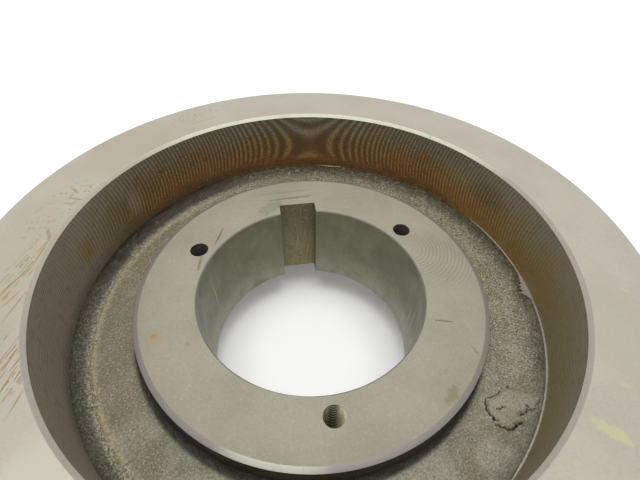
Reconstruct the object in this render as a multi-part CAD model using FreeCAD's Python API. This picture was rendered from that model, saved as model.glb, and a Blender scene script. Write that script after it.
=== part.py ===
"""A cast-iron V-belt pulley for a split-taper bushing, in millimetres.

The pulley is one grey-iron casting. It is given here as the zones that a pulley drawing names: the hub, the
web, the rim band and the lands that stand between the belt grooves. Each zone is its own solid, and
neighbouring zones meet face to face on a cylinder.

The axis is +Z through the origin, and the lower face of the rim lies on Z = 0. The bushing goes in from
above. The keyway is on +Y, exactly opposite one of the three tapped holes.
"""

import os
from math import cos, pi, radians, sin, sqrt, tan

import FreeCAD
import Part

# Rim and belt grooves, to the 5V section
GROOVE_COUNT = 5
GROOVE_SPACING = 17.4625  # between the centres of neighbouring grooves
GROOVE_EDGE = 12.7  # from the centre of an end groove to the face of the rim
GROOVE_TOP_WIDTH = 15.24
GROOVE_DEPTH = 15.0
GROOVE_ANGLE = 40.0  # degrees, from flank to flank
LAND_CHAMFER = 0.4  # on the edges of each groove's mouth
RIM_CHAMFER = 0.8  # on the outer edges of the rim's two faces

# Inside of the rim
RIM_WALL = 13.65  # metal between the bottom of a groove and the turned inside
TURNED_DEPTH = 34.8  # how far the inside is turned, down from the upper face
INNER_CHAMFER = 1.4  # on the inner edges of the rim's two faces
CAST_STEP = 0.6  # how far the rough casting stands inside the turned wall where the turning ends
CAST_DRAFT = 2.5  # degrees, on the rough inside below the web

# Web. Its span sets the outside diameter: with this one it is 261.62, which is 10.30 inch
WEB_SPAN = 24.9225  # from the outside of the hub to the turned inside of the rim
WEB_THICKNESS = 20.0
WEB_RIM_FILLET = 6.0
WEB_HUB_FILLET = 3.5

# Hub, bored for an R1-size bushing
BORE_DIA = 101.6  # at the upper, large end
BORE_TAPER = 1 / 16  # on the diameter, which is 3/4 inch per foot
BORE_CHAMFER = 0.5
HUB_RECESS = 28.4  # how far the hub's face lies below the rim's upper face
HUB_LENGTH = 48.5
HUB_CHAMFER = 1.7
KEYWAY_WIDTH = 19.05
KEYWAY_DEPTH = 6.2  # from the wall of the bore to the keyway's floor
SCREW_COUNT = 3
SCREW_OFFSET = 7.9375  # from the large end's wall to the centre of a tapped hole
SCREW_HOLE_DIA = 8.0  # the minor diameter of a 3/8-16 UNC thread
SCREW_HOLE_DEPTH = 28.0
SCREW_POINT_ANGLE = 118.0  # degrees, at the drill's point
SCREW_FIRST_ANGLE = 30.0  # degrees from +X, which puts one hole opposite the keyway
HUB_EDGE = 18.5  # from the centre of a tapped hole to the outside of the hub

# Radii that follow, from the bore outwards
bore_r = BORE_DIA / 2
bolt_circle_r = bore_r + SCREW_OFFSET
hub_r = bolt_circle_r + HUB_EDGE
rim_inner_r = hub_r + WEB_SPAN
cast_r = rim_inner_r - CAST_STEP
groove_bottom_r = rim_inner_r + RIM_WALL
outside_r = groove_bottom_r + GROOVE_DEPTH

# Heights that follow
rim_top = (GROOVE_COUNT - 1) * GROOVE_SPACING + 2 * GROOVE_EDGE
hub_top = rim_top - HUB_RECESS
hub_bottom = hub_top - HUB_LENGTH
turned_end = rim_top - TURNED_DEPTH
rim_fillet = min(WEB_RIM_FILLET, 0.5 * (cast_r - hub_r))
hub_fillet = min(WEB_HUB_FILLET, 0.4 * (cast_r - hub_r))
web_top = turned_end - rim_fillet
web_bottom = web_top - WEB_THICKNESS
cast_wall_top = web_bottom - rim_fillet


def point(r, z):
    """A point of a section, which lies in the XZ plane."""
    return FreeCAD.Vector(r, 0, z)


def fillet(start, corner, end):
    """The quarter circle that joins start to end and rounds the square corner between them."""
    centre = start + end - corner
    middle = centre + (corner - centre) * sqrt(0.5)
    return Part.Arc(start, middle, end).toShape()


def line(start, end):
    return Part.makeLine(start, end)


def turn(edges):
    """The ring that a closed section makes, turned once round the axis."""
    face = Part.Face(Part.Wire(edges))
    return face.revolve(FreeCAD.Vector(0, 0, 0), FreeCAD.Vector(0, 0, 1), 360)


def turn_polygon(points):
    corners = [point(r, z) for r, z in points]
    return turn([line(a, b) for a, b in zip(corners, corners[1:] + corners[:1])])


def groove_centre(index):
    return GROOVE_EDGE + index * GROOVE_SPACING


def groove_half_width(depth):
    """Half of a groove's width at this depth below the outside of the rim."""
    return GROOVE_TOP_WIDTH / 2 - depth * tan(radians(GROOVE_ANGLE / 2))


def land_lower_side(index):
    """The lower side of a land, from its root to its top: a groove's flank, or the face of the rim."""
    if index == 0:
        return [(groove_bottom_r, 0), (outside_r - RIM_CHAMFER, 0), (outside_r, RIM_CHAMFER)]
    centre = groove_centre(index - 1)
    flank_top = centre + groove_half_width(LAND_CHAMFER)
    return [
        (groove_bottom_r, centre + groove_half_width(GROOVE_DEPTH)),
        (outside_r - LAND_CHAMFER, flank_top),
        (outside_r, flank_top + LAND_CHAMFER),
    ]


def make_land(index):
    """One of the ribs that part the belt grooves. The first and the last are the ends of the rim."""
    lower = land_lower_side(index)
    # the pulley's rim is the same from both faces, so the upper side is another land's lower side, turned over
    upper = [(r, rim_top - z) for r, z in land_lower_side(GROOVE_COUNT - index)]
    return turn_polygon(lower + upper[::-1])


def make_rim_band():
    """The ring under the grooves: turned inside above the web, and rough with a draft below it."""
    lower_r = rim_inner_r + cast_wall_top * tan(radians(CAST_DRAFT))
    chamfer_r = rim_inner_r + (cast_wall_top - INNER_CHAMFER) * tan(radians(CAST_DRAFT))
    return turn_polygon(
        [
            (lower_r + INNER_CHAMFER, 0),
            (groove_bottom_r, 0),
            (groove_bottom_r, rim_top),
            (rim_inner_r + INNER_CHAMFER, rim_top),
            (rim_inner_r, rim_top - INNER_CHAMFER),
            (rim_inner_r, turned_end),
            (rim_inner_r, cast_wall_top),
            (chamfer_r, INNER_CHAMFER),
        ]
    )


def make_web():
    """The solid disc between hub and rim, as cast, with its fillets and the small step at the turned wall."""
    hub_upper = point(hub_r, web_top + hub_fillet)
    hub_upper_end = point(hub_r + hub_fillet, web_top)
    rim_upper = point(cast_r - rim_fillet, web_top)
    rim_upper_end = point(cast_r, turned_end)
    step_end = point(rim_inner_r, turned_end)
    rim_lower = point(rim_inner_r, cast_wall_top)
    rim_lower_end = point(rim_inner_r - rim_fillet, web_bottom)
    hub_lower = point(hub_r + hub_fillet, web_bottom)
    hub_lower_end = point(hub_r, web_bottom - hub_fillet)
    return turn(
        [
            fillet(hub_upper, point(hub_r, web_top), hub_upper_end),
            line(hub_upper_end, rim_upper),
            fillet(rim_upper, point(cast_r, web_top), rim_upper_end),
            line(rim_upper_end, step_end),
            line(step_end, rim_lower),
            fillet(rim_lower, point(rim_inner_r, web_bottom), rim_lower_end),
            line(rim_lower_end, hub_lower),
            fillet(hub_lower, point(hub_r, web_bottom), hub_lower_end),
            line(hub_lower_end, hub_upper),
        ]
    )


def bore_radius(z):
    """Radius of the tapered bore at this height."""
    return bore_r - (hub_top - z) * BORE_TAPER / 2


def make_keyway():
    """What is cut for the keyway: its floor runs along the taper, past both faces of the hub."""
    above = hub_top + KEYWAY_DEPTH
    below = hub_bottom - KEYWAY_DEPTH
    side = KEYWAY_WIDTH / 2
    corners = [
        FreeCAD.Vector(-side, 0, below),
        FreeCAD.Vector(-side, bore_radius(below) + KEYWAY_DEPTH, below),
        FreeCAD.Vector(-side, bore_radius(above) + KEYWAY_DEPTH, above),
        FreeCAD.Vector(-side, 0, above),
    ]
    face = Part.Face(Part.makePolygon(corners + corners[:1]))
    return face.extrude(FreeCAD.Vector(KEYWAY_WIDTH, 0, 0))


def make_screw_hole(index):
    """What is cut for one tapped hole, down from the hub's face to the drill's point."""
    angle = radians(SCREW_FIRST_ANGLE) + index * 2 * pi / SCREW_COUNT
    place = FreeCAD.Vector(bolt_circle_r * cos(angle), bolt_circle_r * sin(angle), hub_top)
    down = FreeCAD.Vector(0, 0, -1)
    radius = SCREW_HOLE_DIA / 2
    point_length = radius / tan(radians(SCREW_POINT_ANGLE / 2))
    drilled = Part.makeCylinder(radius, SCREW_HOLE_DEPTH, place, down)
    tip = Part.makeCone(radius, 0, point_length, place + down * SCREW_HOLE_DEPTH, down)
    return drilled.fuse(tip)


def make_hub():
    """The barrel that takes the bushing: tapered bore, keyway and tapped holes."""
    barrel = turn_polygon(
        [
            (bore_radius(hub_top) + BORE_CHAMFER, hub_top),
            (hub_r - HUB_CHAMFER, hub_top),
            (hub_r, hub_top - HUB_CHAMFER),
            (hub_r, hub_bottom + HUB_CHAMFER),
            (hub_r - HUB_CHAMFER, hub_bottom),
            (bore_radius(hub_bottom) + BORE_CHAMFER, hub_bottom),
            (bore_radius(hub_bottom + BORE_CHAMFER), hub_bottom + BORE_CHAMFER),
            (bore_radius(hub_top - BORE_CHAMFER), hub_top - BORE_CHAMFER),
        ]
    )
    return barrel.cut([make_keyway()] + [make_screw_hole(i) for i in range(SCREW_COUNT)])


def one_solid(shape):
    """The single solid inside a shape, so that each file holds one plain solid."""
    solids = shape.Solids
    if len(solids) != 1:
        raise ValueError(f"expected one solid, found {len(solids)}")
    return solids[0]


nodes = {"hub": make_hub(), "web": make_web(), "rim_band": make_rim_band()}
for land in range(GROOVE_COUNT + 1):
    nodes[f"groove_land_{land + 1}"] = make_land(land)

os.makedirs("parts", exist_ok=True)
for name, shape in nodes.items():
    solid = one_solid(shape)
    solid.exportStep(f"parts/{name}.step")
    print(f"{name}: {solid.Volume / 1000:.1f} cm3, valid {solid.isValid()}")
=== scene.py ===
"""A five groove cast iron V-belt pulley for a split taper bushing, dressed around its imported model.

The pulley stands on its lower face with the large end of the bore up. Lengths are given in millimetres and
become metres where a mesh is made. Angles are in degrees, counted from +X towards +Y.
"""

from math import asin, cos, degrees, exp, hypot, pi, radians, sin, tan

import bmesh
import bpy
from mathutils import Matrix, Vector, geometry, noise


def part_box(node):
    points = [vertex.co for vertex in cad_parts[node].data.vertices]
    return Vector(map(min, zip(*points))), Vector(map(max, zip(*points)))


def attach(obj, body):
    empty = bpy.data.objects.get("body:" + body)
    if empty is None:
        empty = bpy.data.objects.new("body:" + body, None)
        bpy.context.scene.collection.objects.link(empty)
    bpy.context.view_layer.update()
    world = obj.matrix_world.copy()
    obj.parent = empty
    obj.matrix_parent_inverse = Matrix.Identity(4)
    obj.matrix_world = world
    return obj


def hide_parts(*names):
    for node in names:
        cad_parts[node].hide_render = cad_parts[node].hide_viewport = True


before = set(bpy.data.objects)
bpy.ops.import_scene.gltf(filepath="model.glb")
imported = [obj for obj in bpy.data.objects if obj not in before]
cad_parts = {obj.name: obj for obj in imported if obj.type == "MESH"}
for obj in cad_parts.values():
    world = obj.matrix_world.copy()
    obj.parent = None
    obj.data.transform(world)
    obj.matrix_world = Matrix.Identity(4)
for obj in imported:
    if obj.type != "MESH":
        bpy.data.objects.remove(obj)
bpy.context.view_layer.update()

MM = 0.001
STEPS_ROUND = 480  # points in every turned ring, so that rings which meet share their points
ARC_STEPS = 420  # round the bore, and then across the keyway's floor
FLOOR_STEPS = 24
SHARP = 28.0  # an edge that turns more than this stays crisp

# ---------------------------------------------------------------------------------------------- sizes


def reach(name):
    """Outer radius, lowest and highest level of a CAD node, in millimetres."""
    low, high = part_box(name)
    return high.x / MM, low.z / MM, high.z / MM


band_r, _, rim_top = reach("rim_band")
outside_r, _, _ = reach("groove_land_6")
hub_r, hub_bottom, hub_top = reach("hub")
# the web reaches out to the rim's inside, down to the cast wall below it and up to where the turning ended
wall_r, cast_wall_top, turned_end = reach("web")

GROOVES = 5
GROOVE_SPACING = 17.4625
GROOVE_EDGE = 12.7
GROOVE_TOP_WIDTH = 15.24
GROOVE_ANGLE = 40.0
RIM_CHAMFER = 0.8
LAND_CHAMFER = 0.4
INNER_CHAMFER = 1.4
CAST_DRAFT = 2.5
WEB_FILLET = 6.0
HUB_FILLET = 3.5
BORE_R = 50.8
BORE_TAPER = 1 / 32  # on the radius
BORE_CHAMFER = 0.5
HUB_CHAMFER = 1.7
HUB_EDGE_WIDTH = 2.05  # the chamfer is a flat one, wider than it is deep
HUB_EDGE_DROP = 0.75
KEYWAY_WIDTH = 19.05
KEYWAY_DEPTH = 6.2
BOLT_CIRCLE_R = 58.7375
SCREW_ANGLES = (30.0, 150.0, 270.0)
OPEN_SCREW_ANGLE = 270.0  # this hole's thread is painted bright; the other two are painted a dull brown black
THREAD_PITCH = 1.5875  # 3/8 inch, 16 threads to the inch
THREAD_MINOR_R = 4.0
THREAD_MAJOR_R = 4.7
THREAD_DEPTH = 28.0
THREAD_MOUTH_R = 4.3
THREAD_RUNOUT = (6.0, 4.0)  # it fades out between these distances from its end
THREAD_START = 0.77  # where it starts, as a share of a turn
DRILL_POINT = 2.4
CORE_SHIFT = (0.87, 1.24)  # the hub's rough outside stands this far off the bore's axis
WALL_OVERLAP = 0.3  # how far the web runs into the rim
HUB_OVERLAP = 0.1  # and into the hub
WEB_ROWS = 46  # rows of points between the two fillets
BEAD_R = 95.3  # where a bead of metal runs along the fillet
CHATTER_MIDDLE = 82.8
CHATTER_DEPTH = 19.4  # below the rim's face
CHATTER_EVEN = 32.0  # beyond this angle from its middle the chatter is evenly spaced
CHATTER_WIDTH = 70.8  # degrees squared in the first beat
CHATTER_BEND = 0.005  # beats per square millimetre away from that depth
CHATTER_START = 0.44  # as a share of a beat
WEB_MARKS = ("crack", "bead", "scab")

web_top = turned_end - WEB_FILLET
web_bottom = cast_wall_top + WEB_FILLET
groove_depth = outside_r - band_r

# The boring tool's feed is about 0.85. It is drawn coarser here, so that its lines can be seen.
FEED = 1.2
FEED_DEPTH = 0.12


def turn_about(angle, radius, level, centre=(0.0, 0.0)):
    """A point at this angle and radius, in millimetres."""
    a = radians(angle)
    return (centre[0] + radius * cos(a), centre[1] + radius * sin(a), level)


def swell(angle, middle, width):
    """A smooth rise to 1 at an angle, which has died away at a few widths to either side."""
    away = (angle - middle + 180) % 360 - 180
    return exp(-((away / width) ** 2))


def between(value, low, high):
    """0 below low and 1 above high, with a smooth climb from one to the other."""
    t = min(max((value - low) / (high - low), 0.0), 1.0)
    return t * t * (3 - 2 * t)


def step_width(angle):
    """How far the rough casting stands inside the turned wall where the turning ends.

    The core sat a little to one side, so the step shows on +X only. One lump there was torn by the tool.
    """
    away = (angle + 180) % 360 - 180
    side = between(away, -64, -54) * (1 - between(away, 19, 25))
    ragged = 0.12 * noise.noise((angle * 0.9, 4.0, 0.0))
    torn = 0.9 + 0.8 * noise.noise((angle * 1.9, 8.0, 1.0)) + 0.3 * noise.noise((angle * 6.0, 1.0, 5.0))
    lump = 2.8 * torn * between(away, -9.6, -8.2) * (1 - between(away, -7.2, -0.5))
    return 0.06 + side * (0.5 + ragged) + lump + 0.7 * swell(away, 75, 2.2)


# --------------------------------------------------------------------------------------------- shapes


class Shape:
    """Gathers the points and faces of one piece, with a finish for each face."""

    def __init__(self, name, finishes):
        self.name = name
        self.finishes = finishes
        self.points = []
        self.faces = []
        self.finish_of = []

    def ring(self, points):
        """Adds a row of points and gives their numbers."""
        first = len(self.points)
        self.points.extend(points)
        return list(range(first, len(self.points)))

    def face(self, corners, finish):
        self.faces.append(corners)
        self.finish_of.append(finish)

    def join(self, ring_a, ring_b, finish):
        """Adds the strip of faces between two rings, with one finish or a list of them."""
        count = len(ring_a)
        for i in range(count):
            j = (i + 1) % count
            corners = (ring_a[i], ring_a[j], ring_b[j], ring_b[i])
            self.face(corners, finish[i] if isinstance(finish, list) else finish)

    def fill(self, loops, finish):
        """Fills the flat area inside the first loop and outside the others."""
        numbers = [n for loop in loops for n in loop]
        outlines = [[Vector(self.points[n]) for n in loop] for loop in loops]
        for corners in geometry.tessellate_polygon(outlines):
            self.face(tuple(numbers[c] for c in corners), finish)

    def make(self):
        """Makes the object: faces turned outwards, smooth but for the sharp edges."""
        mesh = bpy.data.meshes.new(self.name)
        mesh.from_pydata([(x * MM, y * MM, z * MM) for x, y, z in self.points], [], self.faces)
        names = list(dict.fromkeys(self.finish_of))
        for name in names:
            mesh.materials.append(self.finishes[name])
        mesh.polygons.foreach_set("material_index", [names.index(f) for f in self.finish_of])
        mesh.update()
        tidy_normals(mesh)
        return put(self.name, mesh)


def put(name, data):
    """Adds an object to the scene."""
    made = bpy.data.objects.new(name, data)
    bpy.context.scene.collection.objects.link(made)
    return made


def tidy_normals(mesh):
    """Turns faces outwards, shades them smooth and marks the edges that stay crisp."""
    work = bmesh.new()
    work.from_mesh(mesh)
    bmesh.ops.recalc_face_normals(work, faces=work.faces)
    limit = radians(SHARP)
    for face in work.faces:
        face.smooth = True
    for edge in work.edges:
        edge.smooth = edge.calc_face_angle(0.0) < limit
    work.to_mesh(mesh)
    work.free()


def softened(profile, radius):
    """Rounds the corners of a closed section: each (r, z, finish) becomes a short arc and its two ends.

    The corners where lands and rim band meet stay square, so that the faces run on from one to the other.
    """
    soft = []
    count = len(profile)
    for i, (r, z, finish) in enumerate(profile):
        if abs(r - band_r) < 1e-3:
            soft.append((r, z, finish))
            continue
        here = Vector((r, z))
        back = Vector(profile[i - 1][:2]) - here
        ahead = Vector(profile[(i + 1) % count][:2]) - here
        cut = min(radius, 0.3 * back.length, 0.3 * ahead.length)
        begin, end = here + back.normalized() * cut, here + ahead.normalized() * cut
        hold = 0.25 * cut
        last = profile[i - 1][2]
        soft.append((*(begin + back.normalized() * hold), last))
        for t in (0.0, 0.25, 0.5, 0.75, 1.0):
            spot = begin.lerp(here, t).lerp(here.lerp(end, t), t)
            soft.append((*spot, last if t < 0.5 else finish))
        soft.append((*(end + ahead.normalized() * hold), finish))
    return soft


def turned(name, profile, finishes):
    """A ring turned from a closed section of (r, z, finish); each finish is that of the side after it."""
    shape = Shape(name, finishes)
    angles = [360 * i / STEPS_ROUND for i in range(STEPS_ROUND)]
    rings = [shape.ring([turn_about(a, r, z) for a in angles]) for r, z, _ in profile]
    for i, ring in enumerate(rings):
        shape.join(ring, rings[(i + 1) % len(rings)], profile[i][2])
    return shape.make()


# ------------------------------------------------------------------------------------ materials: tools


def paint(hex_code):
    """An sRGB colour such as 8A7F70 as the linear colour that a shader takes."""
    parts = [int(hex_code[i : i + 2], 16) / 255 for i in (0, 2, 4)]
    return tuple(p / 12.92 if p <= 0.04045 else ((p + 0.055) / 1.055) ** 2.4 for p in parts) + (1.0,)


def node(tree, kind, inputs=(), settings=None, out=0):
    """Adds a node with its settings and links, and gives one of its outputs, if it has any.

    A kind may end with an operation, as in "Math ADD". Inputs are a list in order, or go by their names.
    """
    kind, _, operation = kind.partition(" ")
    made = tree.nodes.new("ShaderNode" + kind)
    if operation:
        made.operation = operation
    for name, value in (settings or {}).items():
        setattr(made, name, value)
    for name, value in inputs.items() if isinstance(inputs, dict) else enumerate(inputs):
        if isinstance(value, bpy.types.NodeSocket):
            tree.links.new(value, made.inputs[name])
        else:
            made.inputs[name].default_value = value
    return made.outputs[out] if made.outputs else None


MIX = {"data_type": "RGBA"}
FACTOR, UNDER, OVER, MIXED = 0, 6, 7, 2  # where a mix of colours has its inputs and its result
SMOOTH = {"interpolation_type": "SMOOTHSTEP"}
FLAT = (1, 1, 0)


def start(name):
    """A new material, with its place on the object in millimetres."""
    material = bpy.data.materials.new(name)
    material.use_nodes = True
    tree = material.node_tree
    tree.nodes.clear()
    place = node(tree, "TexCoord", out="Object")
    mm = node(tree, "VectorMath SCALE", {0: place, "Scale": 1 / MM})
    return material, tree, mm


def coats(tree, colour, layers):
    """Lays colours over each other, each where its mask says."""
    for over, mask in layers:
        over = over if isinstance(over, bpy.types.NodeSocket) else paint(over)
        colour = node(tree, "Mix", {FACTOR: mask, UNDER: colour, OVER: over}, MIX, MIXED)
    return colour


def grains(tree, place, size, low, high, detail=2.0, strength=1.0, stretch=None):
    """A mask of blotches about this many millimetres across, clear below low and full above high.

    stretch is a turn about +Z in degrees, and how many times longer the blotches are along each turned axis.
    """
    if stretch:
        turn, scale = stretch
        inputs = {"Vector": place, "Rotation": (0, 0, radians(turn)), "Scale": scale}
        place = node(tree, "Mapping", inputs, {"vector_type": "TEXTURE"})
    cloud = node(tree, "TexNoise", {"Vector": place, "Scale": 1 / size, "Detail": detail})
    ends = {"Value": cloud, "From Min": low, "From Max": high, "To Max": strength}
    return node(tree, "MapRange", ends, SMOOTH)


def around(tree, mm):
    """The angle in degrees, the radius and the height of a place on the object."""
    x, y, z = [node(tree, "SeparateXYZ", [mm], out=axis) for axis in "XYZ"]
    turn = node(tree, "Math ARCTAN2", [y, x])
    angle = node(tree, "Math DEGREES", [turn])
    flat = node(tree, "CombineXYZ", [x, y])
    radius = node(tree, "VectorMath LENGTH", [flat], out="Value")
    return angle, radius, z


def facing(tree, mm, middle, full, gone):
    """A mask that is full within some degrees of an angle round the axis, and gone further off."""
    aim = (cos(radians(middle)), sin(radians(middle)), 0.0)
    flat = node(tree, "VectorMath MULTIPLY", [mm, FLAT])
    outward = node(tree, "VectorMath NORMALIZE", [flat])
    along = node(tree, "VectorMath DOT_PRODUCT", [outward, aim], out="Value")
    ends = {"Value": along, "From Min": cos(radians(gone)), "From Max": cos(radians(full))}
    return node(tree, "MapRange", ends, SMOOTH)


def flat_from(tree, mm, x, y):
    """A place as it is seen from a point on the face, with its height left out."""
    moved = node(tree, "VectorMath SUBTRACT", [mm, (x, y, 0)])
    return node(tree, "VectorMath MULTIPLY", [moved, FLAT])


def ripples(tree, value, pitch, wave="SINE"):
    """Waves between -1 and 1, one for each time that the value grows by this pitch."""
    phase = node(tree, "Math MULTIPLY", [value, 2 * pi / pitch])
    return node(tree, "Math " + wave, [phase])


def band(tree, value, middle, half):
    """A soft mask that is full at the middle value and gone this far from it."""
    off = node(tree, "Math SUBTRACT", [value, middle])
    away = node(tree, "Math ABSOLUTE", [off])
    return node(tree, "MapRange", {"Value": away, "From Min": half, "From Max": half * 0.3}, SMOOTH)


def oval(tree, flat, half_length, half_width):
    """How far a flat place is from the middle of an oval, whose edge is at 1."""
    scaled = node(tree, "VectorMath MULTIPLY", [flat, (1 / half_length, 1 / half_width, 1)])
    return node(tree, "VectorMath LENGTH", [scaled], out="Value")


def blot(tree, mm, centre, along, across, turn, ragged=0.5, strength=1.0, grain=2.0):
    """A soft-edged mark of this half length and half width in millimetres, turned about +Z."""
    flat = flat_from(tree, mm, *centre)
    lined_up = node(tree, "Mapping", {"Vector": flat, "Rotation": (0, 0, radians(-turn))})
    cloud = node(tree, "TexNoise", {"Vector": mm, "Scale": 1 / grain, "Detail": 2.0})
    uneven = node(tree, "Math MULTIPLY_ADD", [cloud, 2 * ragged, -ragged])
    edge = node(tree, "Math ADD", [oval(tree, lined_up, along, across), uneven])
    ends = {"Value": edge, "From Min": 1.15, "From Max": 0.55, "To Max": strength}
    return node(tree, "MapRange", ends, SMOOTH)


def times(tree, *masks):
    """What is left where every mask is."""
    made = masks[0]
    for mask in masks[1:]:
        made = node(tree, "Math MULTIPLY", [made, mask])
    return made


def surface(tree, colour, roughness, metallic, bumps=(), specular=0.5):
    """The iron's shader, with its bumps as (height, depth in millimetres)."""
    normal = None
    for height, depth in bumps:
        bump = {"Height": height, "Distance": depth * MM, "Strength": 1.0}
        if normal:
            bump["Normal"] = normal
        normal = node(tree, "Bump", bump)
    inputs = {"Base Color": colour, "Roughness": roughness, "Metallic": metallic}
    inputs["Specular IOR Level"] = specular
    if normal:
        inputs["Normal"] = normal
    shader = node(tree, "BsdfPrincipled", inputs)
    node(tree, "OutputMaterial", {"Surface": shader})


# ---------------------------------------------------------------------------------- materials: finishes


def faced_iron(name, base, cloudy, grain, extra):
    """Grey iron faced on a lathe and wiped with oil, which dulled it to a warm stone grey.

    To the eye it is an even satin, with cloudy tints, dark specks where graphite tore out, and a few stains.
    """
    material, tree, mm = start(name)
    _, radius, height = around(tree, mm)
    fine = grains(tree, mm, 0.8, 0.25, 0.8, 2.0)
    layers = [
        (cloudy, grains(tree, mm, 22.0, 0.35, 0.7, 3.0)),
        ("857F71", grains(tree, mm, 0.9, 0.45, 0.75, 2.0, 0.4 * grain)),
        ("C6C2B3", grains(tree, mm, 1.1, 0.55, 0.75, 2.0, 0.35 * grain)),
        ("4A453C", grains(tree, mm, 1.3, 0.74, 0.8, 1.0, 0.35 * grain)),
    ]
    plain = coats(tree, paint(base), layers)
    upper_face = node(tree, "MapRange", {"Value": height, "From Min": 40.0, "From Max": 50.0})
    colour = coats(tree, plain, [(extra(tree, mm, plain), upper_face)])
    # the facing tool's feed is about 0.2; its lines are drawn 0.9 apart so that they show
    lines = ripples(tree, radius, 0.9)
    surface(tree, colour, 0.7, 0.05, [(lines, 0.003), (fine, 0.015)], 0.3)
    return material


def rim_marks(tree, mm, colour):
    """Stains on the rim's face: rust streaks and the dotted print of its wrapping, all on the left."""
    streak_turn = 70.7
    lines = grains(tree, mm, 0.75, 0.57, 0.63, 0.0, 0.9, (streak_turn, (18.0, 1.0, 1.0)))
    broken = grains(tree, mm, 3.5, 0.38, 0.46, 2.0)
    upper = blot(tree, mm, (-108.5, 0), 24, 6, streak_turn, strength=1.4)
    lower = blot(tree, mm, (-101, -42), 21, 11, streak_turn, strength=1.2)
    for region in (upper, lower):
        colour = coats(tree, colour, [("94784E", times(tree, lines, broken, region))])
    freckles = grains(tree, mm, 1.7, 0.6, 0.68, 2.0, 0.8)
    beside = blot(tree, mm, (-105, 33), 26, 11, 62)
    behind = blot(tree, mm, (-50, 108), 20, 5, 25)
    for region in (beside, behind):
        colour = coats(tree, colour, [("9A7A45", times(tree, region, freckles))])
    # the wrapping's weave left a dot every 2.1 by 4.3
    x, y = [node(tree, "SeparateXYZ", [mm], out=axis) for axis in "XY"]
    dots = node(tree, "Math ADD", [ripples(tree, x, 2.1), ripples(tree, y, 4.3)])
    dot_ends = {"Value": dots, "From Min": 0.7, "From Max": 1.7, "To Max": 0.55}
    prints = node(tree, "MapRange", dot_ends, SMOOTH)
    wrapped = blot(tree, mm, (-109, 25), 8, 4.5, -10)
    colour = coats(tree, colour, [("9A8358", times(tree, prints, wrapped))])
    return coats(tree, colour, [(tint, blot(tree, mm, *mark)) for tint, *mark in RIM_MARKS])


def hub_marks(tree, mm, colour):
    """Marks on the hub's face: old scratches, rust spots, oil round the keyway and a tool's chatter arcs."""
    away = node(tree, "VectorMath LENGTH", [flat_from(tree, mm, 50.0, 16.5)], out="Value")
    wave = ripples(tree, away, 1.75)
    arcs = node(tree, "MapRange", {"Value": wave, "From Min": -0.4, "From Max": 1.0, "To Max": 0.5}, SMOOTH)
    spread = blot(tree, mm, (61.5, 10.0), 23, 15, -52, 0.15, 1.0, 6.0)
    open_middle = node(tree, "MapRange", {"Value": away, "From Min": 3.0, "From Max": 10.0}, SMOOTH)
    colour = coats(tree, colour, [("817B6C", times(tree, arcs, spread, open_middle))])
    return coats(tree, colour, [(tint, blot(tree, mm, *mark)) for tint, *mark in HUB_MARKS])


def edge_iron(name, base, highlight_tint, span, pale=()):
    """A chamfer cut with a form tool: closer and shinier than the faces, so it looks cool and purplish.

    Over one span of the way round a pale greenish line is painted on it, a painted highlight. pale lists the
    spans where it is only paler. A span is its middle and where it is full and gone, in degrees.
    """
    material, tree, mm = start(name)
    # painted highlight: the pale tint over one span of the way round, broken up by grains
    bright = times(tree, facing(tree, mm, *span), grains(tree, mm, 6.0, 0.1, 0.5, 2.0))
    worn = grains(tree, mm, 1.2, 0.6, 0.8, 2.0, 0.3)
    layers = [(tint, facing(tree, mm, *part)) for tint, part in pale]
    colour = coats(tree, paint(base), [*layers, (highlight_tint, bright), ("6E6862", worn)])
    surface(tree, colour, 0.5, 0.25, [(grains(tree, mm, 0.8, 0.2, 0.8), 0.015)])
    return material


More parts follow.
